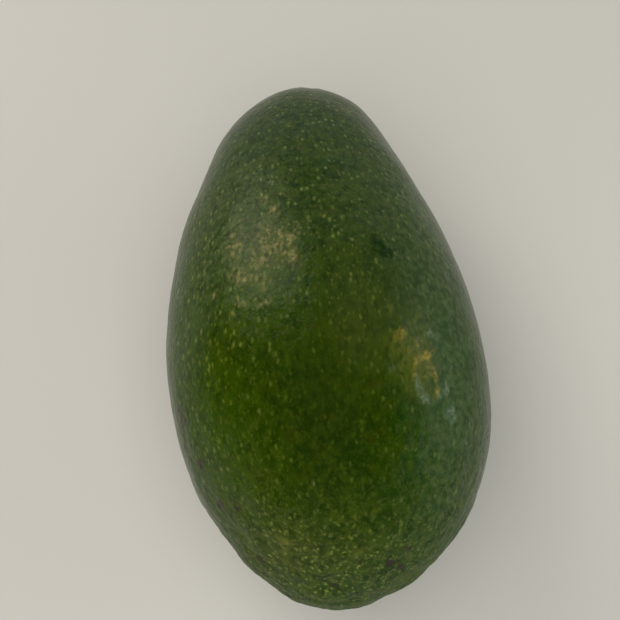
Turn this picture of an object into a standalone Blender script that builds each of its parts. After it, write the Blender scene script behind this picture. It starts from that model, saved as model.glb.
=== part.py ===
"""A whole green avocado as picked, lying on its side on a small flat spot of its skin.

Metres, +Z up. +Y runs from the blossom end to the stem end. The origin is on the surface
that the fruit lies on, under the middle of its box.
"""

import math

import bmesh
import bpy
from mathutils import Matrix, Vector, noise

# Size of the fruit
LENGTH = 0.122
WIDTH = 0.069
DEPTH = 0.067

# Outline along the fruit: a full blossom half and a neck that draws in
BLOSSOM_FULLNESS = 0.20
NECK_DRAW = -0.115
# Sideways run of the middle line, which bows to one side near the blossom end
SIDE_BOW = 0.0030
SIDE_HOOK = 0.0047

# Broad swellings and flats: share of the length from the blossom end, degrees round the
# fruit from +X over the top, height and reach
SWELLINGS = (
    (0.93, 15, 0.0008, 0.009),
    (0.80, 170, -0.0011, 0.014),
    (0.72, 5, -0.0005, 0.010),
    (0.07, 150, -0.0010, 0.010),
    (0.45, 75, 0.0006, 0.016),
    (0.30, 240, -0.0006, 0.018),
)

# Relief of the skin: gentle waves all over, and pebbles that stand out at the blossom end
WAVE_SPACING = 0.015
WAVE_HEIGHT = 0.00030
PEBBLE_SPACING = 0.0075
PEBBLE_HEIGHT = 0.00012
BLOSSOM_PEBBLE_HEIGHT = 0.00050
PEBBLED_SHARE = 0.42
# Share of the spacing at which a pebble has sunk to the skin between pebbles
PEBBLE_REACH = 0.8
RELIEF_SEED = 7

# Shallow scar of the flower, off the blossom tip on the upper side
SCAR_SHARE = 0.022
SCAR_DEGREES = 102
SCAR_RADIUS = 0.0045
SCAR_DEPTH = 0.0006

# Dimple at the stem end, with the woody button that the stem leaves
DIMPLE_RADIUS = 0.0072
DIMPLE_FLOOR_RADIUS = 0.0040
DIMPLE_DEPTH = 0.0018
BUTTON_RADIUS = 0.0033
BUTTON_HEIGHT = 0.0022
BUTTON_RIM = 0.0015
BUTTON_SINK = 0.0003
BUTTON_BEVEL = 0.0004
BUTTON_SIDES = 26
GAP = 0.0003

# How the fruit lies: the stem end dips, so that the weight is over the widest part
LYING_TILT = math.radians(4.7)
FLAT_DEPTH = 0.0004

# Faces along each edge of the cube that is rounded into the skin
SKIN_CELLS = 26
# Share by which the cells are drawn towards both ends
CELL_DRAW = 0.15
# Edges bent more than this are shaded sharp
SHARP_EDGE = math.radians(40)

# Colours and finishes: a deep green skin with a soft gloss, and dry wood
SKIN_GREEN = "38491D"
SKIN_ROUGHNESS = 0.42
WOOD_BROWN = "5E4630"
WOOD_ROUGHNESS = 0.8


def clear_scene():
    for obj in list(bpy.data.objects):
        bpy.data.objects.remove(obj)


def smoothstep(low, high, value):
    share = min(max((value - low) / (high - low), 0.0), 1.0)
    return share * share * (3.0 - 2.0 * share)


def linear(hex_colour):
    """A linear RGBA colour from sRGB hex digits."""
    shares = [int(hex_colour[i : i + 2], 16) / 255 for i in (0, 2, 4)]
    return [c / 12.92 if c <= 0.04045 else ((c + 0.055) / 1.055) ** 2.4 for c in shares] + [1.0]


def material(name, colour, roughness):
    made = bpy.data.materials.new(name)
    made.use_nodes = True
    shader = made.node_tree.nodes["Principled BSDF"]
    shader.inputs["Base Color"].default_value = linear(colour)
    shader.inputs["Roughness"].default_value = roughness
    shader.inputs["Metallic"].default_value = 0.0
    return made


def girth(tip_angle):
    """Girth at an angle from the blossom tip, before it is scaled to a widest of one."""
    along = math.cos(tip_angle)
    return math.sin(tip_angle) * (1 + BLOSSOM_FULLNESS * along + NECK_DRAW * along**3)


WIDEST_GIRTH = max(girth(math.radians(degree)) for degree in range(181))


def smooth_skin(tip_angle, round_angle):
    """Point of the smooth skin. The angle round the fruit starts at +X and goes over the top."""
    share = girth(tip_angle) / WIDEST_GIRTH
    along = math.cos(tip_angle)
    side = math.sin(tip_angle) ** 2 * (SIDE_BOW * along + SIDE_HOOK * along**3)
    return Vector(
        (
            side + WIDTH / 2 * share * math.cos(round_angle),
            -LENGTH / 2 * along,
            DEPTH / 2 * share * math.sin(round_angle),
        )
    )


def outward(tip_angle, round_angle):
    """Direction out of the smooth skin, near enough for a low relief."""
    return Vector(
        (
            math.sin(tip_angle) * math.cos(round_angle),
            -math.cos(tip_angle) * WIDTH / LENGTH,
            math.sin(tip_angle) * math.sin(round_angle),
        )
    ).normalized()


def place_on_skin(share, degrees):
    """Point of the smooth skin at a share of the length and degrees round the fruit."""
    return smooth_skin(math.acos(1 - 2 * share), math.radians(degrees))


def pebble(point):
    """Height from 0 to 1 of domed pebbles packed side by side."""
    nearest = noise.voronoi(point / PEBBLE_SPACING + Vector((RELIEF_SEED, 0, 0)))[0]
    return max(0.0, 1.0 - (nearest[0] / PEBBLE_REACH) ** 2)


def hump(point, middle, reach):
    """Share from 1 at the middle down to almost nothing at twice the reach."""
    return math.exp(-((point - middle).length / reach) ** 2)


def relief(point, swellings, scar):
    """Height of the relief over the smooth skin."""
    height = sum(rise * hump(point, middle, reach) for middle, rise, reach in swellings)
    height += WAVE_HEIGHT * noise.noise(point / WAVE_SPACING + Vector((0, RELIEF_SEED, 0)))
    blossom = 1 - smoothstep(0.0, PEBBLED_SHARE, point.y / LENGTH + 0.5)
    at_scar = 1 - smoothstep(0.3, 1.0, (point - scar).length / SCAR_RADIUS)
    stand = PEBBLE_HEIGHT + (BLOSSOM_PEBBLE_HEIGHT - PEBBLE_HEIGHT) * blossom**2
    height += stand * (pebble(point) - 0.5) * (1 - at_scar)
    return height - SCAR_DEPTH * at_scar


def place_corners(angles):
    """Moves each corner of the rounded cube to its point on the finished skin."""
    swellings = [(place_on_skin(*swelling[:2]), *swelling[2:]) for swelling in SWELLINGS]
    scar = place_on_skin(SCAR_SHARE, SCAR_DEGREES)
    floor = LENGTH / 2 - DIMPLE_DEPTH
    for corner, (tip_angle, round_angle) in angles.items():
        point = smooth_skin(tip_angle, round_angle)
        at_stem = 0.0
        if point.y > 0:
            off_axis = math.hypot(point.x, point.z)
            at_stem = 1 - smoothstep(DIMPLE_FLOOR_RADIUS, DIMPLE_RADIUS, off_axis)
        height = relief(point, swellings, scar) * (1 - at_stem)
        point += outward(tip_angle, round_angle) * height
        point.y += (floor - point.y) * at_stem
        corner.co = point


def round_cube(cells):
    """A cube cut into even cells, with each corner's angle from the tip and round the fruit."""
    made = bmesh.new()
    bmesh.ops.create_cube(made, size=2)
    bmesh.ops.subdivide_edges(made, edges=made.edges[:], cuts=cells - 1, use_grid_fill=True)
    quarter = math.pi / 4
    angles = {}
    for corner in made.verts:
        way = Vector([math.tan(quarter * value) for value in corner.co]).normalized()
        tip_angle = math.acos(max(-1.0, min(1.0, -way.y)))
        tip_angle -= CELL_DRAW * math.sin(2 * tip_angle) / 2
        angles[corner] = (tip_angle, math.atan2(way.z, way.x))
    return made, angles


def finish(made, name, finish_material):
    """An object at the origin from a bmesh, with its faces out and shaded smooth."""
    bmesh.ops.recalc_face_normals(made, faces=made.faces[:])
    mesh = bpy.data.meshes.new(name)
    made.to_mesh(mesh)
    made.free()
    mesh.materials.append(finish_material)
    mesh.shade_smooth()
    mesh.set_sharp_from_angle(angle=SHARP_EDGE)
    obj = bpy.data.objects.new(name, mesh)
    bpy.context.scene.collection.objects.link(obj)
    return obj


def box_of(points):
    low = Vector([min(point[i] for point in points) for i in range(3)])
    high = Vector([max(point[i] for point in points) for i in range(3)])
    return low, high


def cut_flat_spot(made):
    """Takes the lowest skin off level, which is the spot that the fruit lies on."""
    level = box_of([corner.co for corner in made.verts])[0].z + FLAT_DEPTH
    geometry = made.verts[:] + made.edges[:] + made.faces[:]
    bmesh.ops.bisect_plane(
        made, geom=geometry, plane_co=(0, 0, level), plane_no=(0, 0, -1), clear_outer=True
    )
    open_edges = [edge for edge in made.edges if edge.is_boundary]
    bmesh.ops.contextual_create(made, geom=open_edges)


def make_fruit(tilt):
    """The whole fruit in one closed skin, tilted as it lies."""
    made, angles = round_cube(SKIN_CELLS)
    place_corners(angles)
    bmesh.ops.transform(made, matrix=tilt, verts=made.verts[:])
    cut_flat_spot(made)
    return finish(made, "avocado", material("avocado_skin", SKIN_GREEN, SKIN_ROUGHNESS))


def make_stem_button(tilt):
    """A low woody disc with a worn edge and a slightly sunken middle, stood in the dimple."""
    made = bmesh.new()
    bmesh.ops.create_circle(made, cap_ends=True, radius=BUTTON_RADIUS, segments=BUTTON_SIDES)
    top = bmesh.ops.extrude_face_region(made, geom=made.faces[:])["geom"]
    raised = [corner for corner in top if isinstance(corner, bmesh.types.BMVert)]
    bmesh.ops.translate(made, verts=raised, vec=(0, 0, BUTTON_HEIGHT))
    rims = [e for e in made.edges if abs(e.verts[0].co.z - e.verts[1].co.z) < BUTTON_HEIGHT / 2]
    bmesh.ops.bevel(made, geom=rims, offset=BUTTON_BEVEL, segments=2, affect="EDGES")
    crown = max(made.faces, key=lambda face: face.calc_center_median().z)
    bmesh.ops.inset_region(made, faces=[crown], thickness=BUTTON_RIM)
    bmesh.ops.translate(made, verts=crown.verts[:], vec=(0, 0, -BUTTON_SINK))
    upright = Matrix.Rotation(-math.pi / 2, 4, "X")
    seat = Matrix.Translation((0, LENGTH / 2 - DIMPLE_DEPTH + GAP, 0))
    button = finish(made, "stem_button", material("stem_wood", WOOD_BROWN, WOOD_ROUGHNESS))
    button.matrix_world = tilt @ seat @ upright
    return button


def settle(fruit, button):
    """Lays the fruit, with its button, so that the origin is under the middle of their box."""
    button.parent = fruit
    bpy.context.view_layer.update()
    pieces = (fruit, button)
    points = [piece.matrix_world @ corner.co for piece in pieces for corner in piece.data.vertices]
    low, high = box_of(points)
    fruit.location = (-(low.x + high.x) / 2, -(low.y + high.y) / 2, -low.z)


def main():
    clear_scene()
    tilt = Matrix.Rotation(-LYING_TILT, 4, "X")
    settle(make_fruit(tilt), make_stem_button(tilt))


main()
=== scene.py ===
import math

import bmesh
import bpy
import numpy as np
from mathutils import Matrix, Vector, noise


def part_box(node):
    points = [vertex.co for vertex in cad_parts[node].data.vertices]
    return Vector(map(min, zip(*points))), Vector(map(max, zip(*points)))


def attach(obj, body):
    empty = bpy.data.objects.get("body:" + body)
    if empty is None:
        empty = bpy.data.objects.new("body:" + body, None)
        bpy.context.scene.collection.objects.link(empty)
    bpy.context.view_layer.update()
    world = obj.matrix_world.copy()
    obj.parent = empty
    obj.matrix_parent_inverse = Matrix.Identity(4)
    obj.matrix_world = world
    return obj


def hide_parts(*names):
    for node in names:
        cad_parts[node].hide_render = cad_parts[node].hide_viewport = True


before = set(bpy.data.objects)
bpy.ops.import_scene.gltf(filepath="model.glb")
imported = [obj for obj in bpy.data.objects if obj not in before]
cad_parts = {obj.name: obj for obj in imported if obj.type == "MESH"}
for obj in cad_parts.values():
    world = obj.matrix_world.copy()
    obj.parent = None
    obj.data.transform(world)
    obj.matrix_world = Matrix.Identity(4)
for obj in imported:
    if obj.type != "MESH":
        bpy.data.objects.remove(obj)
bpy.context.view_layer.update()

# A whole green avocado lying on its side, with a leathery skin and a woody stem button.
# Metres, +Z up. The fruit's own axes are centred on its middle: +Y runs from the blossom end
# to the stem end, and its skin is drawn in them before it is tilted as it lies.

MM = 0.001

# Size and outline, as in the part's source
LENGTH = 0.122
WIDTH = 0.069
DEPTH = 0.067
BLOSSOM_FULLNESS = 0.20
NECK_DRAW = -0.115
SIDE_BOW = 0.0030
SIDE_HOOK = 0.0047
# Broad swellings and flats: share of the length from the blossom end, degrees round the
# fruit from +X over the top, height and reach
SWELLINGS = (
    (0.93, 15, 0.0008, 0.009),
    (0.80, 170, -0.0011, 0.014),
    (0.72, 5, -0.0005, 0.010),
    (0.07, 150, -0.0010, 0.010),
    (0.45, 75, 0.0006, 0.016),
    (0.30, 240, -0.0006, 0.018),
)
WAVE_SPACING = 0.015
WAVE_HEIGHT = 0.00030
PEBBLE_SPACING = 0.0075
PEBBLE_HEIGHT = 0.00012
BLOSSOM_PEBBLE_HEIGHT = 0.00050
PEBBLED_SHARE = 0.42
PEBBLE_REACH = 0.8
RELIEF_SEED = 7
SCAR_SHARE = 0.022
SCAR_DEGREES = 102
SCAR_RADIUS = 0.0045
SCAR_DEPTH = 0.0006
# Share of the scar's radius over which it is at its full depth
SCAR_FLOOR = 0.3
DIMPLE_RADIUS = 0.0072
DIMPLE_FLOOR_RADIUS = 0.0040
DIMPLE_DEPTH = 0.0018
BUTTON_RADIUS = 0.0033
BUTTON_HEIGHT = 0.0022
GAP = 0.0003
LYING_TILT = math.radians(4.7)
CELL_DRAW = 0.15

# Finer skin than the part's: faces along each edge of the cube that is rounded into it
FINE_CELLS = 118
# Low relief that the skin has over the part's, by the names of its node tree's inputs: small
# pebbles between the big ones, fine lengthwise wrinkles, and the raised grain of corky scars
FINE_RELIEF = {
    "Pebble spacing": 2.6 * MM,
    "Pebble height": 0.035 * MM,
    "Blossom pebble height": 0.24 * MM,
    "Wrinkle width": 1.6 * MM,
    "Wrinkle stretch": 5.0,
    "Wrinkle height": 0.05 * MM,
    "Cork grain": 1.7 * MM,
    "Cork height": 0.35 * MM,
}
# Shallow folds that run out from the stem, and the waves that make them uneven round it: how
# many, how strong and where they start
STEM_FOLDS = 13
STEM_FOLD_WAVES = ((2, 1.6, 0.7), (5, 0.9, 0.0))
STEM_FOLD_HEIGHT = 0.22 * MM
STEM_FOLD_REACH = 13.0 * MM

# Stem button: steps round it, up its side and over its top, shares of its radius at which the
# worn edge of its foot and its top starts, height of that edge, and hollow of the top
BUTTON_SIDES = 120
BUTTON_SIDE_STEPS = 8
BUTTON_TOP_STEPS = 22
BUTTON_FOOT_SHARE = 0.94
BUTTON_TOP_SHARE = 0.95
BUTTON_EDGE = 0.4 * MM
BUTTON_HOLLOW = 0.4 * MM
# Fibres up its side: how many round it, how fast they change with height, and how far they
# are sunk, as a share of the radius
FIBRE_TURNS = 7
FIBRE_CHANGE = 300
FIBRE_SHARE = 0.035
# Cracks across its top: how many round it, how fast they change outwards, where their pattern
# starts, and how wide and deep they are
CRACK_TURNS = 4
CRACK_CHANGE = 250
CRACK_START = 9
CRACK_WIDTH = 0.10
CRACK_DEPTH = 0.25 * MM

# The photograph's view in the fruit's own axes
VIEW_AZIMUTH = math.radians(-4.0)
VIEW_ELEVATION = math.radians(67.0)
VIEW_DISTANCE = 0.2229
VIEW_LENS = 57.90
SENSOR_WIDTH = 36.0
NEAREST_SEEN = 0.01
# How far the fruit's middle lies right of and below the picture's middle, per metre of distance
VIEW_RIGHT = 0.0102
VIEW_BELOW = 0.0160

# Point that every lamp faces
LIT_MIDDLE = (0, 0, 0.03)
# Lamps: name, place, width and height, power in watts, colour, and whether the skin mirrors them.
# The warm key stands high on the left past the stem end, with a faint cool one at the right. The
# two large ones only brighten the top and the blossom end, and leave no gloss of their own.
LAMPS = (
    ("key", (-0.42, 0.53, 0.48), (0.60, 0.42), 2.20, "FFF8EE", True),
    ("cool_side", (0.70, 0.00, 0.26), (0.50, 0.80), 1.1, "DCF4EC", True),
    ("fill", (-0.13, -0.22, 0.90), (1.20, 1.20), 7.6, "FFFCFA", False),
    ("front", (0.0, -0.75, 0.22), (1.20, 0.40), 2.6, "FFFCFA", False),
)
# Surroundings: pale low down and dark overhead, with the two colours, the strength, and for each
# axis the direction at which the pale starts, the one at which it is full, and the least share
DARK_SURROUND = "101010"
PALE_SURROUND = "E8E6E4"
SURROUND_STRENGTH = 0.85
SURROUND_FADES = (
    ("Z", 0.62, 0.12, 0.0),
    ("Y", -0.9, 0.1, 0.35),
    ("X", -0.95, -0.45, 0.08),
)
FLOOR_REACH = 1.5
# The floor lies just under the fruit, so that the two don't share a plane
FLOOR_DROP = 0.1 * MM

# How the skin's patterns lie: straight, bent or crumpled by a wandering, and on top of the
# bending drawn out lengthwise with the pores or combed into streaks
WANDER_SPACING = 1.1 * MM
BEND = 0.6 * MM
CRUMPLE = 1.3 * MM
PORE_DRAW = 0.58
STREAK_DRAW = 0.16
# Pale corky pores: spacing, shares of it at which a pore starts and is full, and the faintest
# and strongest pore. They lie 1 to 2 mm apart on a real skin, small ones between larger ones.
# The blossom end has its own, which are wide and ragged.
PORES = (0.90 * MM, 0.40, 0.08, 0.10, 0.75)
LARGER_PORES = (1.35 * MM, 0.37, 0.08, 0.05, 0.90)
BLOSSOM_PORES = (1.2 * MM, 0.42, 0.14, 0.10, 0.95)
# Irregular patterns of the skin: size, detail, and how they lie. Hue, rust, cloud and mottle
# shift the green, and bloom breaks up the wax bloom and its painted sheen. Crepe and streak are
# short strokes between the pores, wear frays the marks, patch spots the rubbed skin and its painted
# highlight, and clot is the grain of the cork. Leather and grain are relief. Streaks, wear and clots
# are 0.3 to 0.5 mm on a real skin and the grain is 0.1 mm: they are drawn coarser, so that they
# show where a pixel is 0.2 mm.
SKIN_PATTERNS = {
    "hue": (6.0 * MM, 3.0, "straight"),
    "rust": (3.0 * MM, 2.0, "bent"),
    "cloud": (2.4 * MM, 1.5, "bent"),
    "mottle": (1.6 * MM, 3.0, "drawn"),
    "bloom": (1.5 * MM, 1.5, "bent"),
    "leather": (1.3 * MM, 2.0, "bent"),
    "patch": (1.2 * MM, 2.0, "bent"),
    "crepe": (0.95 * MM, 1.0, "bent"),
    "wear": (0.9 * MM, 4.0, "drawn"),
    "streak": (0.8 * MM, 2.0, "combed"),
    "clot": (0.75 * MM, 2.0, "bent"),
    "grain": (0.35 * MM, 2.0, "straight"),
}
# How far the crepe's strokes are pulled out of shape
CREPE_PULL = 1.2
# Heights of the finest relief, which is in the material alone: leather, grain and pores
LEATHER_HEIGHT = 0.17 * MM
GRAIN_HEIGHT = 0.03 * MM
PORE_HEIGHT = 0.04 * MM
# Wood of the stem button: width of its fibres, drawn coarser than the real 0.1 mm, size of its
# stains, and height of its fibres
WOOD_FIBRE = 0.5 * MM
WOOD_STAIN = 2.2 * MM
WOOD_FIBRE_HEIGHT = 0.12 * MM

# Inputs of a Map Range node by their place: the range that it reads and the one that it gives
FROM_LOW = 1
FROM_HIGH = 2
TO_LOW = 3
TO_HIGH = 4
# Inputs of a Mix node by their place, for colours: the one underneath and the one laid over it
UNDER = 6
OVER = 7

# Marks on the skin, then its broad tones, each a group of soft ovals: share of the length from
# the blossom end, degrees round the fruit, reach lengthwise and crosswise in millimetres, turn in
# degrees anticlockwise from lengthwise as seen from outside, and strength. Those of the side that
# the photograph shows follow it, and the few on the back and underside are guesses.
MARKS = {
    # Skin rubbed dull and tan, midway along and left of the top, with a painted highlight of the key
    # light laid over it
    "scuff_and_highlight": (
        (0.565, 108, 3.6, 2.6, 0, 0.55),
        (0.552, 104, 2.2, 2.0, 0, 0.50),
        (0.538, 100, 2.0, 1.5, 0, 0.95),
        (0.511, 99, 1.8, 1.2, 0, 0.70),
        (0.561, 98, 1.6, 2.0, 0, 0.45),
        (0.520, 106, 2.8, 2.6, 0, 0.50),
        (0.610, 104, 1.8, 1.6, 0, 0.60),
        (0.634, 108, 1.4, 1.6, 0, 0.50),
        (0.608, 119, 2.4, 1.6, 0, 0.35),
        (0.557, 119, 2.4, 1.8, 0, 0.45),
        (0.491, 117, 2.2, 1.6, 0, 0.55),
        (0.545, 121, 7.0, 3.6, 0, 0.35),
        (0.511, 112, 2.6, 2.2, 0, 0.50),
        (0.469, 110, 2.2, 2.2, 0, 0.45),
        (0.446, 116, 1.2, 2.2, 0, 0.45),
        (0.435, 110, 1.3, 2.2, 0, 0.40),
        (0.677, 104, 1.2, 1.4, 0, 0.40),
        (0.650, 110, 1.2, 1.2, 0, 0.40),
    ),
    # Ochre corky scars, healed over scratches
    "ochre": (
        (0.373, 67, 1.2, 1.0, 0, 1.00),
        (0.362, 69, 1.4, 1.0, 20, 0.50),
        (0.357, 62, 0.9, 0.7, 0, 0.65),
        (0.346, 65, 0.8, 0.7, 0, 0.60),
        (0.342, 58, 2.3, 0.9, -58, 0.95),
        (0.328, 63, 1.3, 0.8, -40, 0.85),
        (0.307, 64, 0.7, 0.6, 0, 0.85),
        (0.321, 58, 1.1, 0.8, 0, 0.55),
        (0.315, 56, 1.6, 0.8, 10, 0.85),
        (0.304, 60, 0.8, 0.7, 0, 0.55),
        (0.287, 55, 1.1, 0.7, 0, 0.90),
        (0.277, 57, 0.7, 0.6, 0, 0.40),
        (0.273, 60, 0.9, 0.7, 0, 0.40),
        (0.084, 124, 1.1, 0.9, 0, 0.50),
    ),
    # Olive stain round the corky scars, and olive blotches at the blossom end
    "olive": (
        (0.335, 63, 8.0, 5.0, 0, 0.85),
        (0.411, 70, 1.2, 1.0, 0, 0.80),
        (0.398, 61, 1.0, 0.8, 0, 0.60),
        (0.407, 57, 1.4, 1.4, 0, 0.50),
        (0.354, 70, 2.0, 2.0, 0, 0.50),
        (0.088, 126, 1.6, 1.6, 0, 0.90),
        (0.073, 128, 1.2, 1.2, 0, 0.70),
        (0.060, 132, 1.2, 1.4, 0, 0.70),
        (0.101, 152, 1.0, 1.2, 0, 0.60),
        (0.148, 140, 1.1, 1.1, 0, 0.50),
        (0.062, 84, 0.9, 2.2, 15, 0.80),
        (0.106, 86, 1.2, 1.1, 0, 0.60),
        (0.113, 78, 0.9, 1.0, 0, 0.50),
        (0.063, 102, 1.0, 1.2, 0, 0.50),
        (0.760, 262, 3.0, 2.0, 20, 0.50),
        (0.410, 300, 4.0, 2.4, -15, 0.60),
        (0.240, 215, 3.4, 2.6, 0, 0.55),
    ),
    # Thin silvery scars beside the ochre ones, with small painted bluish-white glints and a painted
    # pale veil on them
    "pale": (
        (0.379, 56, 0.8, 1.2, 0, 1.00),
        (0.375, 53, 0.8, 1.0, 0, 0.60),
        (0.366, 61, 1.0, 1.4, 0, 0.35),
        (0.298, 63, 1.6, 0.9, 30, 0.65),
        (0.282, 62, 2.0, 0.8, 30, 0.75),
        (0.271, 60, 1.1, 1.0, 0, 1.00),
        (0.293, 51, 1.5, 0.8, 10, 1.00),
        (0.281, 54, 0.8, 0.8, 0, 0.70),
        (0.330, 48, 0.8, 0.8, 0, 0.60),
        (0.262, 48, 1.0, 0.9, 0, 0.80),
        (0.256, 50, 1.4, 0.8, -30, 0.90),
        (0.248, 47, 1.6, 0.7, -50, 0.70),
        (0.318, 72, 1.0, 1.6, -30, 0.45),
        (0.620, 330, 1.0, 2.6, 60, 0.60),
        (0.350, 205, 1.2, 3.0, 20, 0.55),
    ),
    # Small dry tan flecks
    "tan": (
        (0.476, 129, 1.0, 0.38, -12, 1.00),
        (0.156, 103, 0.8, 0.6, 20, 0.42),
        (0.120, 103, 0.6, 0.5, 0, 0.45),
        (0.550, 285, 1.6, 0.7, 35, 1.00),
        (0.300, 350, 0.9, 0.9, 0, 0.90),
    ),
    # Small purple-brown spots
    "purple": (
        (0.226, 154, 1.3, 1.6, 0, 0.80),
        (0.319, 158, 1.3, 1.6, 0, 0.75),
        (0.299, 157, 1.5, 1.6, 0, 0.75),
        (0.157, 154, 1.5, 1.5, 0, 0.90),
        (0.143, 144, 1.2, 1.4, 0, 0.55),
        (0.071, 156, 1.2, 1.8, 0, 0.60),
        (0.048, 58, 1.0, 1.3, 0, 1.00),
        (0.045, 47, 0.9, 1.1, 0, 0.95),
        (0.066, 51, 0.8, 1.0, 0, 0.75),
        (0.032, 47, 0.7, 1.1, 0, 0.55),
        (0.180, 262, 2.6, 2.2, 0, 0.70),
        (0.640, 205, 1.6, 1.4, 0, 0.60),
    ),
    # Spots where the green is deepest
    "deep": (
        (0.528, 70, 2.6, 1.4, 0, 0.90),
        (0.515, 67, 1.6, 1.8, 0, 0.90),
        (0.084, 98, 0.9, 1.3, 0, 0.60),
        (0.092, 75, 1.0, 1.3, 0, 0.60),
        (0.013, 89, 1.8, 3.0, 0, 0.50),
    ),
    # Dark scar that the flower left
    "flower_scar": (
        (0.021, 102, 0.9, 1.0, 0, 0.80),
        (0.018, 98, 0.7, 0.9, 0, 0.60),
        (0.028, 107, 1.6, 2.0, 0, 0.35),
        (0.024, 94, 1.3, 2.2, 0, 0.30),
    ),
    # Tone: bright fresh green on the flanks
    "fresh": (
        (0.420, 146, 34.0, 9.0, 0, 0.80),
        (0.250, 138, 14.0, 9.0, 0, 0.50),
        (0.400, 42, 30.0, 9.0, 0, 0.80),
        (0.470, 112, 9.0, 8.0, 0, 0.70),
        (0.235, 141, 9.0, 6.0, 0, 0.40),
        (0.550, 262, 30.0, 16.0, 0, 0.50),
    ),
    # Tone: greyish bloom of the wax, in soft patches, partly a painted sheen on the flanks
    "bloom_and_sheen": (
        (0.300, 44, 26.0, 9.0, 0, 0.85),
        (0.560, 45, 22.0, 10.0, 0, 0.85),
        (0.600, 121, 20.0, 10.0, 0, 0.80),
        (0.520, 240, 24.0, 12.0, 0, 0.60),
    ),
    # Tone: where the blossom end's wide, ragged pores lie
    "blossom_dots": (
        (0.035, 115, 9.0, 22.0, 0, 1.00),
        (0.075, 128, 10.0, 11.0, 0, 0.90),
        (0.030, 285, 9.0, 30.0, 0, 0.70),
    ),
    # Tone: deep, pure green
    "saturated": (
        (0.250, 96, 22.0, 16.0, 0, 1.00),
        (0.350, 130, 14.0, 9.0, 0, 0.70),
        (0.115, 84, 8.0, 9.0, 0, 0.45),
        (0.012, 115, 6.0, 8.0, 0, 0.40),
        (0.520, 106, 7.0, 5.0, 0, 0.35),
    ),
    # Tone: cooler, greyer green
    "greyed": (
        (0.930, 90, 22.0, 26.0, 0, 0.85),
        (0.480, 40, 34.0, 11.0, 0, 0.60),
        (0.200, 35, 18.0, 11.0, 0, 0.60),
        (0.015, 110, 8.0, 14.0, 0, 0.75),
        (0.400, 79, 12.0, 7.0, 0, 0.75),
        (0.560, 81, 10.0, 9.0, 0, 0.40),
        (0.230, 134, 10.0, 9.0, 0, 0.45),
    ),
    # Tone: yellowish green with yellowish pores
    "golden": (
        (0.075, 128, 8.0, 9.0, 0, 1.00),
        (0.060, 90, 6.0, 9.0, 0, 0.25),
        (0.480, 140, 30.0, 8.0, 0, 0.60),
        (0.200, 145, 12.0, 8.0, 0, 0.45),
        (0.350, 62, 9.0, 7.0, 0, 0.40),
        (0.400, 80, 13.0, 8.0, 0, 1.00),
        (0.560, 81, 10.0, 9.0, 0, 0.35),
        (0.235, 138, 14.0, 9.0, 0, 0.75),
        (0.440, 121, 12.0, 7.0, 0, 0.75),
        (0.660, 121, 9.0, 8.0, 0, 0.45),
        (0.190, 128, 7.0, 7.0, 0, 0.45),
        (0.560, 46, 20.0, 8.0, 0, 0.45),
        (0.520, 106, 7.0, 5.0, 0, 0.35),
    ),
    # Tone: where the pores are faint and the skin is even
    "faint_dots": (
        (0.290, 92, 22.0, 15.0, 0, 0.88),
        (0.170, 92, 12.0, 20.0, 0, 0.50),
        (0.400, 65, 22.0, 16.0, 0, 0.70),
        (0.330, 40, 22.0, 12.0, 0, 0.30),
        (0.060, 100, 16.0, 34.0, 0, 0.45),
        (0.250, 140, 20.0, 16.0, 0, 0.50),
    ),
}
# Least reach of a mark through the skin, in millimetres, so that it covers the relief
LEAST_MARK_DEPTH = 3.0


def add(tree, kind, inputs=None, **settings):
    """Adds a node with its settings. An input is a value, or a node or socket to link from."""
    node = tree.nodes.new(kind)
    for name, value in settings.items():
        setattr(node, name, value)
    for key, value in (inputs or {}).items():
        if isinstance(value, bpy.types.Node):
            value = value.outputs[0]
        if isinstance(value, bpy.types.NodeSocket):
            tree.links.new(value, node.inputs[key])
        else:
            node.inputs[key].default_value = value
    return node


def linear(hex_colour):
    """A linear RGBA colour from sRGB hex digits."""
    shares = [int(hex_colour[i : i + 2], 16) / 255 for i in (0, 2, 4)]
    return [c / 12.92 if c <= 0.04045 else ((c + 0.055) / 1.055) ** 2.4 for c in shares] + [1.0]


def per_metre(size):
    """The scale of a pattern whose features are this many metres apart."""
    return 1.0 / size


def smoothstep(low, high, value):
    """Share from 0 at the low end to 1 at the high one, eased at both."""
    share = np.clip((value - low) / (high - low), 0.0, 1.0)
    return share * share * (3.0 - 2.0 * share)


def unit(vectors):
    """Vectors brought to a length of one."""
    return vectors / np.linalg.norm(vectors, axis=-1, keepdims=True)


def girth(tip_angle):
    """Girth at an angle from the blossom tip, before it is scaled to a widest of one."""
    along = np.cos(tip_angle)
    return np.sin(tip_angle) * (1 + BLOSSOM_FULLNESS * along + NECK_DRAW * along**3)


WIDEST_GIRTH = girth(np.radians(np.arange(181))).max()


def smooth_skin(tip_angle, round_angle):
    """Points of the smooth skin. The angle round the fruit starts at +X and goes over the top."""
    share = girth(tip_angle) / WIDEST_GIRTH
    along = np.cos(tip_angle)
    side = np.sin(tip_angle) ** 2 * (SIDE_BOW * along + SIDE_HOOK * along**3)
    across = side + WIDTH / 2 * share * np.cos(round_angle)
    return np.stack([across, -LENGTH / 2 * along, DEPTH / 2 * share * np.sin(round_angle)], -1)


def outward(tip_angle, round_angle):
    """Directions out of the smooth skin, near enough for a low relief."""
    sine = np.sin(tip_angle)
    lengthwise = -np.cos(tip_angle) * WIDTH / LENGTH
    return unit(np.stack([sine * np.cos(round_angle), lengthwise, sine * np.sin(round_angle)], -1))


def angles_at(share, degrees):
    """Angles from the tip and round the fruit, for a share of the length and degrees round it."""
    return math.acos(1 - 2 * share), math.radians(degrees)


def humps(points, middle, reach):
    """Share from 1 at the middle down to almost nothing at twice the reach."""
    return np.exp(-((np.linalg.norm(points - middle, axis=-1) / reach) ** 2))


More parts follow.
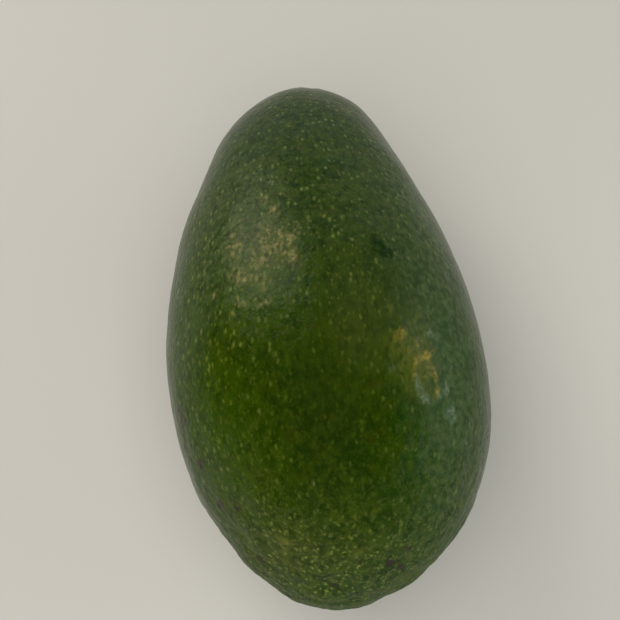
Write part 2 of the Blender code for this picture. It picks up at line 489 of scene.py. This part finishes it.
def pebbles(points):
    """Heights from 0 to 1 of domed pebbles packed side by side."""
    shift = Vector((RELIEF_SEED, 0, 0))
    nearest = [noise.voronoi(Vector(p) / PEBBLE_SPACING + shift)[0][0] for p in points]
    return np.maximum(0.0, 1.0 - (np.array(nearest) / PEBBLE_REACH) ** 2)


def waves(points):
    """Heights from -1 to 1 of gentle waves all over the skin."""
    shift = Vector((0, RELIEF_SEED, 0))
    return np.array([noise.noise(Vector(p) / WAVE_SPACING + shift) for p in points])


def blossom_share(points):
    """Share from 1 at the blossom end to 0 where the pebbles fade out."""
    return 1 - smoothstep(0.0, PEBBLED_SHARE, points[:, 1] / LENGTH + 0.5)


def relief(points):
    """Heights of the part's own relief over the smooth skin."""
    heights = WAVE_HEIGHT * waves(points)
    for share, degrees, rise, reach in SWELLINGS:
        heights += rise * humps(points, smooth_skin(*angles_at(share, degrees)), reach)
    scar = smooth_skin(*angles_at(SCAR_SHARE, SCAR_DEGREES))
    at_scar = 1 - smoothstep(SCAR_FLOOR, 1.0, np.linalg.norm(points - scar, axis=-1) / SCAR_RADIUS)
    stand = PEBBLE_HEIGHT + (BLOSSOM_PEBBLE_HEIGHT - PEBBLE_HEIGHT) * blossom_share(points) ** 2
    heights += stand * (pebbles(points) - 0.5) * (1 - at_scar)
    return heights - SCAR_DEPTH * at_scar


def spots(points, marks):
    """Share from 0 to 1 of soft oval spots on the skin."""
    clear = np.ones(len(points))
    for share, degrees, reach_along, reach_across, turn, strength in marks:
        angles = angles_at(share, degrees)
        out = outward(*angles)
        along = unit(np.array([0.0, 1.0, 0.0]) - out[1] * out)
        across = np.cross(along, out)
        cosine, sine = math.cos(math.radians(turn)), math.sin(math.radians(turn))
        away = points - smooth_skin(*angles)
        steps = (
            away @ (along * cosine - across * sine) / (reach_along * MM),
            away @ (across * cosine + along * sine) / (reach_across * MM),
            away @ out / (max(reach_along, reach_across, LEAST_MARK_DEPTH) * MM),
        )
        clear *= 1 - strength * np.exp(-sum(step**2 for step in steps))
    return 1 - clear


def round_cube(cells):
    """A cube cut into even cells, with its corners' angles from the tip and round the fruit."""
    made = bmesh.new()
    bmesh.ops.create_cube(made, size=2)
    bmesh.ops.subdivide_edges(made, edges=made.edges[:], cuts=cells - 1, use_grid_fill=True)
    bmesh.ops.recalc_face_normals(made, faces=made.faces[:])
    mesh = bpy.data.meshes.new("skin")
    made.to_mesh(mesh)
    made.free()
    corners = np.zeros(len(mesh.vertices) * 3)
    mesh.vertices.foreach_get("co", corners)
    ways = unit(np.tan(math.pi / 4 * corners.reshape(-1, 3)))
    tip_angles = np.arccos(np.clip(-ways[:, 1], -1.0, 1.0))
    tip_angles -= CELL_DRAW * np.sin(2 * tip_angles) / 2
    return mesh, tip_angles, np.arctan2(ways[:, 2], ways[:, 0])


def give(mesh, name, values):
    """Stores a number for each corner of a mesh."""
    attribute = mesh.attributes.new(name, "FLOAT", "POINT")
    attribute.data.foreach_set("value", values.astype(np.float32))


def lying():
    """How the fruit lies: its tilt, and the shift that puts the stem button where the part has it."""
    tilt = Matrix.Rotation(-LYING_TILT, 4, "X")
    low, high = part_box("stem_button")
    button_middle = LENGTH / 2 - DIMPLE_DEPTH + GAP + BUTTON_HEIGHT / 2
    return Matrix.Translation((low + high) / 2 - tilt @ Vector((0, button_middle, 0))) @ tilt


def stem_folds(points, round_angles, off_axis):
    """Heights of the folds that gather the skin towards the stem, uneven round the fruit."""
    uneven = sum(
        size * np.sin(count * round_angles + start) for count, size, start in STEM_FOLD_WAVES
    )
    wave = np.sin(STEM_FOLDS * round_angles + uneven)
    inner = smoothstep(DIMPLE_FLOOR_RADIUS, DIMPLE_RADIUS, off_axis)
    outer = 1 - smoothstep(DIMPLE_RADIUS, STEM_FOLD_REACH, off_axis)
    heights = STEM_FOLD_HEIGHT * wave * inner * outer
    heights[points[:, 1] < 0] = 0.0
    return heights


def skin_mesh(lie):
    """The skin as the part has it, finer, with the places of its marks and tones."""
    mesh, tip_angles, round_angles = round_cube(FINE_CELLS)
    smooth = smooth_skin(tip_angles, round_angles)
    off_axis = np.hypot(smooth[:, 0], smooth[:, 2])
    at_stem = 1 - smoothstep(DIMPLE_FLOOR_RADIUS, DIMPLE_RADIUS, off_axis)
    at_stem[smooth[:, 1] < 0] = 0.0
    heights = relief(smooth) * (1 - at_stem) + stem_folds(smooth, round_angles, off_axis)
    points = smooth + outward(tip_angles, round_angles) * heights[:, None]
    points[:, 1] += (LENGTH / 2 - DIMPLE_DEPTH - points[:, 1]) * at_stem
    placed = points @ np.array(lie.to_3x3()).T + np.array(lie.translation)
    mesh.vertices.foreach_set("co", placed.ravel())
    give(mesh, "blossom", blossom_share(smooth))
    give(mesh, "stem_end", at_stem)
    for name, marks in MARKS.items():
        give(mesh, name, spots(smooth, marks))
    return mesh


def skin_relief_tree():
    """Raises fine pebbles, lengthwise wrinkles and corky scars out of a skin."""
    tree = bpy.data.node_groups.new("skin relief", "GeometryNodeTree")
    tree.interface.new_socket("Skin", in_out="INPUT", socket_type="NodeSocketGeometry")
    for name in FINE_RELIEF:
        tree.interface.new_socket(name, in_out="INPUT", socket_type="NodeSocketFloat")
    tree.interface.new_socket("Seed", in_out="INPUT", socket_type="NodeSocketInt")
    tree.interface.new_socket("Finish", in_out="INPUT", socket_type="NodeSocketMaterial")
    tree.interface.new_socket("Skin", in_out="OUTPUT", socket_type="NodeSocketGeometry")
    given = add(tree, "NodeGroupInput").outputs
    place = add(tree, "GeometryNodeInputPosition")
    seeded = add(tree, "ShaderNodeVectorMath", {0: place, 1: given["Seed"]}, operation="ADD")
    stored = {
        name: add(tree, "GeometryNodeInputNamedAttribute", {"Name": name})
        for name in ("blossom", "ochre", "pale")
    }
    # The scale of each pattern is one over its size
    scale = {
        name: add(tree, "ShaderNodeMath", {0: 1.0, 1: given[name]}, operation="DIVIDE")
        for name in ("Pebble spacing", "Wrinkle width", "Cork grain")
    }

    # Pebbles are domes, one in each cell, down to the skin where the squared distance from the
    # middle is 0.7, and stand highest at the blossom end
    cells = add(tree, "ShaderNodeTexVoronoi", {"Vector": seeded, "Scale": scale["Pebble spacing"]})
    off_middle = cells.outputs["Distance"]
    dome = add(tree, "ShaderNodeMath", {0: off_middle, 1: off_middle}, operation="MULTIPLY")
    ends = {FROM_LOW: 0.0, FROM_HIGH: 0.7, TO_LOW: 0.5, TO_HIGH: -0.5}
    pebble = add(tree, "ShaderNodeMapRange", {"Value": dome, **ends})
    ends = {TO_LOW: given["Pebble height"], TO_HIGH: given["Blossom pebble height"]}
    stand = add(tree, "ShaderNodeMapRange", {"Value": stored["blossom"], **ends})
    lift = add(tree, "ShaderNodeMath", {0: pebble, 1: stand}, operation="MULTIPLY")

    # Wrinkles are a pattern drawn out lengthwise
    stretch = add(tree, "ShaderNodeCombineXYZ", {0: 1.0, 1: given["Wrinkle stretch"], 2: 1.0})
    drawn = add(tree, "ShaderNodeVectorMath", {0: seeded, 1: stretch}, operation="DIVIDE")
    settings = {"Vector": drawn, "Scale": scale["Wrinkle width"], "Detail": 1.0}
    folds = add(tree, "ShaderNodeTexNoise", settings)
    fold = add(tree, "ShaderNodeMath", {0: folds, 1: 0.5}, operation="SUBTRACT")
    raised = add(tree, "ShaderNodeMath", {0: fold, 1: given["Wrinkle height"]}, operation="MULTIPLY")
    lift = add(tree, "ShaderNodeMath", {0: lift, 1: raised}, operation="ADD")

    # Corky scars stand up in grains
    settings = {"Vector": seeded, "Scale": scale["Cork grain"], "Detail": 3.0}
    grain = add(tree, "ShaderNodeTexNoise", settings)
    cork = add(tree, "ShaderNodeMath", {0: grain, 1: given["Cork height"]}, operation="MULTIPLY")
    scars = {0: stored["ochre"], 1: stored["pale"]}
    corky = add(tree, "ShaderNodeMath", scars, operation="ADD", use_clamp=True)
    raised = add(tree, "ShaderNodeMath", {0: cork, 1: corky}, operation="MULTIPLY")
    lift = add(tree, "ShaderNodeMath", {0: lift, 1: raised}, operation="ADD")

    out = add(tree, "GeometryNodeInputNormal")
    offset = add(tree, "ShaderNodeVectorMath", {0: out, "Scale": lift}, operation="SCALE")
    moved = add(tree, "GeometryNodeSetPosition", {"Geometry": given["Skin"], "Offset": offset})
    real = add(tree, "GeometryNodeRealizeInstances", {"Geometry": moved})
    finish = {"Geometry": real, "Material": given["Finish"]}
    finished = add(tree, "GeometryNodeSetMaterial", finish)
    add(tree, "NodeGroupOutput", {0: finished})
    return tree


def shape_with(obj, tree, sizes):
    """Runs a node tree on an object with the sizes given, and leaves a plain mesh."""
    modifier = obj.modifiers.new(tree.name, "NODES")
    modifier.node_group = tree
    for socket in tree.interface.items_tree:
        if socket.in_out == "INPUT" and socket.name in sizes:
            modifier[socket.identifier] = sizes[socket.name]
    bpy.context.view_layer.update()
    shaped = obj.evaluated_get(bpy.context.evaluated_depsgraph_get())
    mesh = bpy.data.meshes.new_from_object(shaped)
    obj.modifiers.remove(modifier)
    obj.data = mesh


def link(name, data):
    """A new object in the scene, at the origin."""
    obj = bpy.data.objects.new(name, data)
    bpy.context.scene.collection.objects.link(obj)
    return obj


def make_skin(lie):
    """The fruit's skin, in one closed mesh that is flat where it rests."""
    skin = link("avocado_skin", skin_mesh(lie))
    sizes = {**FINE_RELIEF, "Seed": RELIEF_SEED, "Finish": skin_material()}
    shape_with(skin, skin_relief_tree(), sizes)
    for corner in skin.data.vertices:
        corner.co.z = max(corner.co.z, 0.0)
    skin.data.shade_smooth()
    return skin


def skin_places(tree):
    """Coordinates for the skin's patterns, by how they lie."""
    straight = add(tree, "ShaderNodeTexCoord").outputs["Object"]
    settings = {"Vector": straight, "Scale": per_metre(WANDER_SPACING), "Detail": 2.0}
    wander = add(tree, "ShaderNodeTexNoise", settings).outputs["Color"]
    places = {"straight": straight}
    for name, reach in (("bent", BEND), ("crumpled", CRUMPLE)):
        steps = {0: wander, 1: (reach,) * 3, 2: straight}
        places[name] = add(tree, "ShaderNodeVectorMath", steps, operation="MULTIPLY_ADD")
    for name, draw in (("drawn", PORE_DRAW), ("combed", STREAK_DRAW)):
        settings = {"Vector": places["bent"], "Scale": (1.0, draw, 1.0)}
        places[name] = add(tree, "ShaderNodeMapping", settings)
    return places


def skin_patterns(tree, places):
    """The irregular patterns of the skin by their names, each from 0 to 1."""
    patterns = {}
    for name, (size, detail, lie) in SKIN_PATTERNS.items():
        settings = {"Vector": places[lie], "Scale": per_metre(size), "Detail": detail}
        patterns[name] = add(tree, "ShaderNodeTexNoise", settings)
    patterns["crepe"].inputs["Distortion"].default_value = CREPE_PULL
    return patterns


def pore_dots(tree, place, spacing, start, full, faintest, strongest):
    """Soft dots from 0 to 1, one in each cell, each with a strength of its own."""
    cells = add(tree, "ShaderNodeTexVoronoi", {"Vector": place, "Scale": per_metre(spacing)})
    ends = {"Value": cells.outputs["Distance"], FROM_LOW: start, FROM_HIGH: full}
    dot = add(tree, "ShaderNodeMapRange", ends, interpolation_type="SMOOTHSTEP")
    own = add(tree, "ShaderNodeSeparateColor", {0: cells.outputs["Color"]})
    strength = add(tree, "ShaderNodeMapRange", {"Value": own, TO_LOW: faintest, TO_HIGH: strongest})
    return add(tree, "ShaderNodeMath", {0: dot, 1: strength}, operation="MULTIPLY")


def ragged(tree, mark, fray, low, high):
    """A mark's share from 0 to 1, broken up by a fray that multiplies it."""
    frayed = add(tree, "ShaderNodeMath", {0: mark, 1: fray}, operation="MULTIPLY")
    ends = {"Value": frayed, FROM_LOW: low, FROM_HIGH: high}
    return add(tree, "ShaderNodeMapRange", ends, interpolation_type="SMOOTHSTEP")


def skin_tones(tree, patterns, stored, shown):
    """Colours of the rind itself, laid over one another in this order, each with its share."""
    # Cloudy light and dark patches come up towards the blossom end, where the rind is creped
    ends = {"Value": stored["blossom"], FROM_LOW: 0.35, TO_LOW: 0.08, TO_HIGH: 0.55}
    clouding = add(tree, "ShaderNodeMapRange", ends)
    ends = {"Value": stored["blossom"], TO_LOW: 0.25, TO_HIGH: 0.75}
    creping = add(tree, "ShaderNodeMapRange", ends)
    # The mottle fades with the pores
    ends = {"Value": stored["faint_dots"], TO_LOW: 0.8, TO_HIGH: 0.30}
    mottling = add(tree, "ShaderNodeMapRange", ends)
    shares = {}
    for name, pattern, low, high, most in (
        ("bluish", "hue", 0.50, 0.34, 0.7),
        ("yellowish", "hue", 0.50, 0.68, 0.7),
        ("sunned", "cloud", 0.50, 0.68, clouding),
        ("dimmed", "cloud", 0.50, 0.32, clouding),
        ("mottled", "mottle", 0.44, 0.75, mottling),
        ("shaded", "mottle", 0.50, 0.28, mottling),
        ("rusty", "rust", 0.55, 0.80, 0.5),
        ("streaked", "streak", 0.52, 0.74, 0.35),
        # Cleared and hazed patches of the wax bloom; the pale haze is partly a painted sheen
        ("cleared", "bloom", 0.48, 0.32, 0.7),
        ("haze_and_sheen", "bloom", 0.42, 0.72, 0.8),
        ("creped", "crepe", 0.50, 0.66, creping),
    ):
        ends = {"Value": patterns[pattern], FROM_LOW: low, FROM_HIGH: high, TO_HIGH: most}
        shares[name] = add(tree, "ShaderNodeMapRange", ends)
    # Some tones lie only where the skin's mesh has their place, and at a strength of their own
    for name, place, strength in (
        ("cleared", stored["bloom_and_sheen"], shares["cleared"]),
        ("haze_and_sheen", stored["bloom_and_sheen"], shares["haze_and_sheen"]),
        ("creped", shown, shares["creped"]),
        ("fresh", stored["fresh"], 0.60),
        ("greyed", stored["greyed"], 0.60),
        ("golden", stored["golden"], 0.45),
    ):
        shares[name] = add(tree, "ShaderNodeMath", {0: place, 1: strength}, operation="MULTIPLY")
    return [
        ("163814", shares["bluish"]),
        ("304602", shares["yellowish"]),
        ("1A2C00", stored["saturated"]),
        ("243C2A", shares["greyed"]),
        ("484C1E", shares["golden"]),
        ("2C5206", shares["fresh"]),
        ("404E18", shares["sunned"]),
        ("182E08", shares["dimmed"]),
        ("3C4E14", shares["mottled"]),
        ("142604", shares["shaded"]),
        ("323410", shares["rusty"]),
        ("142604", shares["streaked"]),
        ("1C3C0A", shares["cleared"]),
        # Pale grey-green haze: wax bloom, partly a painted sheen
        ("4C623A", shares["haze_and_sheen"]),
        ("565C32", shares["creped"]),
    ]


def skin_marks(tree, patterns, stored, pores, fray, scuff_and_highlight_share):
    """Colours of the marks on the rind, laid over one another in this order."""
    ends = {"Value": patterns["mottle"], FROM_LOW: 0.35, FROM_HIGH: 0.65, TO_LOW: 0.6, TO_HIGH: 1.4}
    soft_fray = add(tree, "ShaderNodeMapRange", ends)
    # A rubbed patch is dull all over, and worn to a pale tan on its high spots and pores. Both colours
    # are partly a painted highlight laid over the patch.
    brushed_and_highlight = add(tree, "ShaderNodeMath", {0: scuff_and_highlight_share, 1: 0.40}, operation="MULTIPLY")
    steps = {0: pores, 1: 0.35, 2: patterns["patch"]}
    high_spots = add(tree, "ShaderNodeMath", steps, operation="MULTIPLY_ADD")
    worn = add(tree, "ShaderNodeMapRange", {"Value": high_spots, FROM_LOW: 0.44, FROM_HIGH: 0.66})
    rubbed_and_highlight = add(tree, "ShaderNodeMath", {0: scuff_and_highlight_share, 1: worn}, operation="MULTIPLY")
    # Corky scars are grown of small grains with darker gaps
    ends = {"Value": patterns["clot"], FROM_LOW: 0.36, FROM_HIGH: 0.62, TO_LOW: 0.35, TO_HIGH: 1.5}
    grains = add(tree, "ShaderNodeMapRange", ends)
    ochre = ragged(tree, stored["ochre"], soft_fray, 0.08, 1.20)
    ochre = add(tree, "ShaderNodeMath", {0: ochre, 1: grains}, operation="MULTIPLY")
    # Pale marks: silvery cork scars, partly painted glints
    pale = ragged(tree, stored["pale"], soft_fray, 0.12, 1.15)
    pale = add(tree, "ShaderNodeMath", {0: pale, 1: grains}, operation="MULTIPLY")
    # Thin brown cork rings the stem, cracked and flaked paler
    corked = ragged(tree, stored["stem_end"], fray, 0.55, 1.20)
    ends = {"Value": patterns["wear"], FROM_LOW: 0.50, FROM_HIGH: 0.66, TO_HIGH: 0.8}
    flake = add(tree, "ShaderNodeMapRange", ends)
    flaked = add(tree, "ShaderNodeMath", {0: corked, 1: flake}, operation="MULTIPLY")
    return [
        ("122C04", ragged(tree, stored["deep"], fray, 0.10, 0.90)),
        ("4E5622", ragged(tree, stored["olive"], fray, 0.05, 1.05)),
        ("666A3C", brushed_and_highlight),
        ("868050", rubbed_and_highlight),
        ("857A38", ochre),
        ("64745A", pale),
        ("7C7650", ragged(tree, stored["tan"], fray, 0.25, 0.75)),
        ("302A20", ragged(tree, stored["purple"], fray, 0.12, 0.75)),
        ("282E1A", ragged(tree, stored["flower_scar"], fray, 0.12, 1.00)),
        ("584A2C", corked),
        ("8A7A54", flaked),
    ]


def skin_material():
    """Leathery avocado rind, grown, and neither waxed nor polished."""
    # Its own thin wax gives the eye a soft sheen that breaks up on the pebbles, over a deep green
    # that shifts from bluish to olive, with pale dots where the corky pores come through
    made = bpy.data.materials.new("avocado_skin")
    made.use_nodes = True
    tree = made.node_tree
    shader = tree.nodes["Principled BSDF"]
    stored = {
        name: add(tree, "ShaderNodeAttribute", attribute_name=name).outputs["Fac"]
        for name in (*MARKS, "blossom", "stem_end")
    }
    places = skin_places(tree)
    patterns = skin_patterns(tree, places)

    # Pores, faint where the mesh says so
    ends = {"Value": stored["faint_dots"], TO_LOW: 1.0, TO_HIGH: 0.15}
    shown = add(tree, "ShaderNodeMapRange", ends)
    dots = []
    for layer in (PORES, LARGER_PORES):
        steps = {0: pore_dots(tree, places["drawn"], *layer), 1: shown}
        dots.append(add(tree, "ShaderNodeMath", steps, operation="MULTIPLY"))
    pores = add(tree, "ShaderNodeMath", {0: dots[0], 1: dots[1]}, operation="MAXIMUM")
    gold_dots = add(tree, "ShaderNodeMath", {0: pores, 1: stored["golden"]}, operation="MULTIPLY")
    wide = pore_dots(tree, places["crumpled"], *BLOSSOM_PORES)
    wide_dots = add(tree, "ShaderNodeMath", {0: wide, 1: stored["blossom_dots"]}, operation="MULTIPLY")

    ends = {"Value": patterns["wear"], FROM_LOW: 0.32, FROM_HIGH: 0.68, TO_LOW: 0.3, TO_HIGH: 1.7}
    fray = add(tree, "ShaderNodeMapRange", ends)
    # Rubbed patch of the skin: partly real wear, partly a painted highlight
    scuff_and_highlight_share = ragged(tree, stored["scuff_and_highlight"], fray, 0.05, 0.90)

    colour = linear("263E06")
    for hex_colour, share in (
        *skin_tones(tree, patterns, stored, shown),
        ("4C5C2C", dots[0]),
        ("667840", dots[1]),
        ("74742E", gold_dots),
        ("76823E", wide_dots),
        *skin_marks(tree, patterns, stored, pores, fray, scuff_and_highlight_share),
    ):
        layers = {0: share, UNDER: colour, OVER: linear(hex_colour)}
        colour = add(tree, "ShaderNodeMix", layers, data_type="RGBA").outputs[2]
    fresher = add(tree, "ShaderNodeMapRange", {"Value": stored["saturated"], TO_LOW: 1.0, TO_HIGH: 1.2})
    green = add(tree, "ShaderNodeHueSaturation", {"Saturation": fresher, "Color": colour})
    tree.links.new(green.outputs[0], shader.inputs["Base Color"])

    # The sheen is duller on the mottle, the rubbed patch and the blossom end
    dull = add(tree, "ShaderNodeMapRange", {"Value": patterns["mottle"], TO_LOW: 0.18, TO_HIGH: 0.32})
    dull = add(tree, "ShaderNodeMath", {0: scuff_and_highlight_share, 1: 0.12, 2: dull}, operation="MULTIPLY_ADD")
    ends = {"Value": stored["blossom"], FROM_LOW: 0.6, TO_LOW: 0.0, TO_HIGH: 0.30}
    dull_tip = add(tree, "ShaderNodeMapRange", ends)
    dull = add(tree, "ShaderNodeMath", {0: dull_tip, 1: dull}, operation="ADD")
    tree.links.new(dull.outputs[0], shader.inputs["Roughness"])
    shader.inputs["IOR"].default_value = 1.45
    shader.inputs["Specular IOR Level"].default_value = 0.15
    shader.inputs["Coat Weight"].default_value = 0.0

    leather = {"Height": patterns["leather"], "Distance": LEATHER_HEIGHT, "Strength": 1.0}
    bumps = add(tree, "ShaderNodeBump", leather)
    for height, distance in ((patterns["grain"], GRAIN_HEIGHT), (pores, PORE_HEIGHT)):
        finer = {"Height": height, "Distance": distance, "Strength": 1.0, "Normal": bumps}
        bumps = add(tree, "ShaderNodeBump", finer)
    tree.links.new(bumps.outputs[0], shader.inputs["Normal"])
    return made


def button_profile():
    """Radius and height of a worn woody disc, from the middle of its foot to that of its top."""
    foot_radius = BUTTON_RADIUS * BUTTON_FOOT_SHARE
    top_radius = BUTTON_RADIUS * BUTTON_TOP_SHARE
    rise = BUTTON_HEIGHT - 2 * BUTTON_EDGE
    steps = np.linspace(0.0, 1.0, BUTTON_SIDE_STEPS)
    foot = [(foot_radius * s, 0.0) for s in steps]
    side = [(BUTTON_RADIUS, BUTTON_EDGE + rise * s) for s in steps]
    top = [
        (top_radius * (1 - s), BUTTON_HEIGHT - BUTTON_HOLLOW * smoothstep(0.1, 0.5, s))
        for s in np.linspace(0.0, 1.0, BUTTON_TOP_STEPS)
    ]
    return foot + side + top


def wood_point(angle, radius, height):
    """Point on the stem button, sunk at the fibres of its side and at the cracks of its top."""
    way = Vector((math.cos(angle), math.sin(angle), 0))
    turns = way * FIBRE_TURNS
    fibre = noise.noise(Vector((turns.x, turns.y, height * FIBRE_CHANGE)))
    turns = way * CRACK_TURNS
    crack = abs(noise.noise(Vector((turns.x, turns.y, radius * CRACK_CHANGE + CRACK_START))))
    share = radius / BUTTON_RADIUS
    at_side = smoothstep(0.8, 1.0, share)
    on_top = smoothstep(0.1, 0.5, share) if height > BUTTON_HEIGHT / 2 else 0.0
    point = way * radius * (1 - FIBRE_SHARE * at_side * (1 + fibre))
    point.z = max(height - CRACK_DEPTH * smoothstep(CRACK_WIDTH, 0.0, crack) * on_top, 0.0)
    return point


def make_stem_button(lie):
    """The woody end of the stem: fibres up its side, cracks across its sunken top."""
    made = bmesh.new()
    rings = []
    for radius, height in button_profile():
        ring = []
        for step in range(BUTTON_SIDES if radius > 0 else 1):
            angle = 2 * math.pi * step / BUTTON_SIDES
            ring.append(made.verts.new(wood_point(angle, radius, height)))
        rings.append(ring)
    for low, high in zip(rings, rings[1:]):
        for step in range(BUTTON_SIDES):
            corners = [low[step % len(low)], low[(step + 1) % len(low)]]
            corners += [high[(step + 1) % len(high)], high[step % len(high)]]
            made.faces.new(dict.fromkeys(corners))
    bmesh.ops.recalc_face_normals(made, faces=made.faces[:])
    seat = Matrix.Translation((0, LENGTH / 2 - DIMPLE_DEPTH + GAP, 0))
    made.transform(lie @ seat @ Matrix.Rotation(-math.pi / 2, 4, "X"))
    mesh = bpy.data.meshes.new("stem_wood")
    made.to_mesh(mesh)
    made.free()
    mesh.materials.append(wood_material())
    mesh.shade_smooth()
    return link("stem_wood", mesh)


def wood_material():
    """The dry end of a woody stem, snapped or cut off and left to weather."""
    # Bare weathered wood gives the eye a matt brown, fibrous and blotched with darker stains
    made = bpy.data.materials.new("dry_stem_wood")
    made.use_nodes = True
    tree = made.node_tree
    shader = tree.nodes["Principled BSDF"]
    place = add(tree, "ShaderNodeTexCoord").outputs["Object"]
    settings = {"Vector": place, "Scale": per_metre(WOOD_FIBRE), "Detail": 4.0}
    fibre = add(tree, "ShaderNodeTexNoise", settings)
    settings = {"Vector": place, "Scale": per_metre(WOOD_STAIN), "Detail": 2.0}
    stain = add(tree, "ShaderNodeTexNoise", settings)
    colour = linear("4A3420")
    for hex_colour, pattern, low, high, most in (
        ("8E7450", fibre, 0.35, 0.68, 1.0),
        ("3A2A1E", stain, 0.45, 0.65, 0.7),
    ):
        ends = {"Value": pattern, FROM_LOW: low, FROM_HIGH: high, TO_HIGH: most}
        share = add(tree, "ShaderNodeMapRange", ends)
        layers = {0: share, UNDER: colour, OVER: linear(hex_colour)}
        colour = add(tree, "ShaderNodeMix", layers, data_type="RGBA").outputs[2]
    tree.links.new(colour, shader.inputs["Base Color"])
    shader.inputs["Roughness"].default_value = 0.85
    rough = add(tree, "ShaderNodeBump", {"Height": fibre, "Distance": WOOD_FIBRE_HEIGHT})
    tree.links.new(rough.outputs[0], shader.inputs["Normal"])
    return made


def make_floor():
    """A plain pale matt surface under the fruit."""
    made = bmesh.new()
    bmesh.ops.create_grid(made, x_segments=1, y_segments=1, size=FLOOR_REACH)
    mesh = bpy.data.meshes.new("floor")
    made.to_mesh(mesh)
    made.free()
    # Matt paint, rolled on: it takes soft shadows and gives the eye no shine
    paint = bpy.data.materials.new("matt_pale_paint")
    paint.use_nodes = True
    shader = paint.node_tree.nodes["Principled BSDF"]
    shader.inputs["Base Color"].default_value = linear("D4D2CA")
    shader.inputs["Roughness"].default_value = 0.8
    shader.inputs["Specular IOR Level"].default_value = 0.2
    mesh.materials.append(paint)
    floor = link("floor", mesh)
    floor.location.z = -FLOOR_DROP


def aim(obj, place, target, up):
    """Stands a camera or light at a place and points it at a target."""
    back = (place - target).normalized()
    right = up.cross(back).normalized()
    turned = Matrix((right, back.cross(right), back)).transposed().to_4x4()
    obj.matrix_world = Matrix.Translation(place) @ turned


def view_axes():
    """The photograph's right, up and back directions in the fruit's own axes."""
    level = math.cos(VIEW_ELEVATION)
    right = Vector((math.cos(VIEW_AZIMUTH), math.sin(VIEW_AZIMUTH), 0))
    back = Vector((right.y * level, -right.x * level, math.sin(VIEW_ELEVATION)))
    return right, back.cross(right), back


def make_camera(lie):
    """A camera at the photograph's angle to the fruit."""
    right, up, back = view_axes()
    place = back * VIEW_DISTANCE
    target = place - (back + right * VIEW_RIGHT - up * VIEW_BELOW) * VIEW_DISTANCE
    lens = bpy.data.cameras.new("view")
    lens.lens = VIEW_LENS
    lens.sensor_width = SENSOR_WIDTH
    lens.clip_start = NEAREST_SEEN
    camera = link("view", lens)
    aim(camera, lie @ place, lie @ target, lie.to_3x3() @ up)
    bpy.context.scene.camera = camera


def make_lamps():
    """The soft boxes of the studio."""
    for name, place, (width, height), power, hex_colour, mirrored in LAMPS:
        light = bpy.data.lights.new(name, "AREA")
        light.shape = "RECTANGLE"
        light.size = width
        light.size_y = height
        light.energy = power
        light.color = linear(hex_colour)[:3]
        box = link(name, light)
        box.visible_glossy = mirrored
        aim(box, Vector(place), Vector(LIT_MIDDLE), Vector((0, 1, 0)))


def make_surroundings():
    """Pale all round and dark overhead, dimmer past the blossom end and on the far left."""
    world = bpy.data.worlds.new("studio")
    bpy.context.scene.world = world
    world.use_nodes = True
    tree = world.node_tree
    way = add(tree, "ShaderNodeTexCoord").outputs["Generated"]
    parts = add(tree, "ShaderNodeSeparateXYZ", {0: way}).outputs
    pale = 1.0
    for axis, low, high, least in SURROUND_FADES:
        ends = {"Value": parts[axis], FROM_LOW: low, FROM_HIGH: high, TO_LOW: least}
        fade = add(tree, "ShaderNodeMapRange", ends, interpolation_type="SMOOTHSTEP")
        pale = add(tree, "ShaderNodeMath", {0: pale, 1: fade}, operation="MULTIPLY")
    layers = {0: pale, UNDER: linear(DARK_SURROUND), OVER: linear(PALE_SURROUND)}
    sky = add(tree, "ShaderNodeMix", layers, data_type="RGBA")
    tree.links.new(sky.outputs[2], tree.nodes["Background"].inputs["Color"])
    tree.nodes["Background"].inputs["Strength"].default_value = SURROUND_STRENGTH
    bpy.context.scene.view_settings.view_transform = "Standard"


def main():
    lie = lying()
    make_camera(lie)
    make_lamps()
    make_surroundings()
    make_floor()
    skin = make_skin(lie)
    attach(skin, "root")
    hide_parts("avocado")
    stem = make_stem_button(lie)
    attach(stem, "root")
    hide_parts("stem_button")


main()
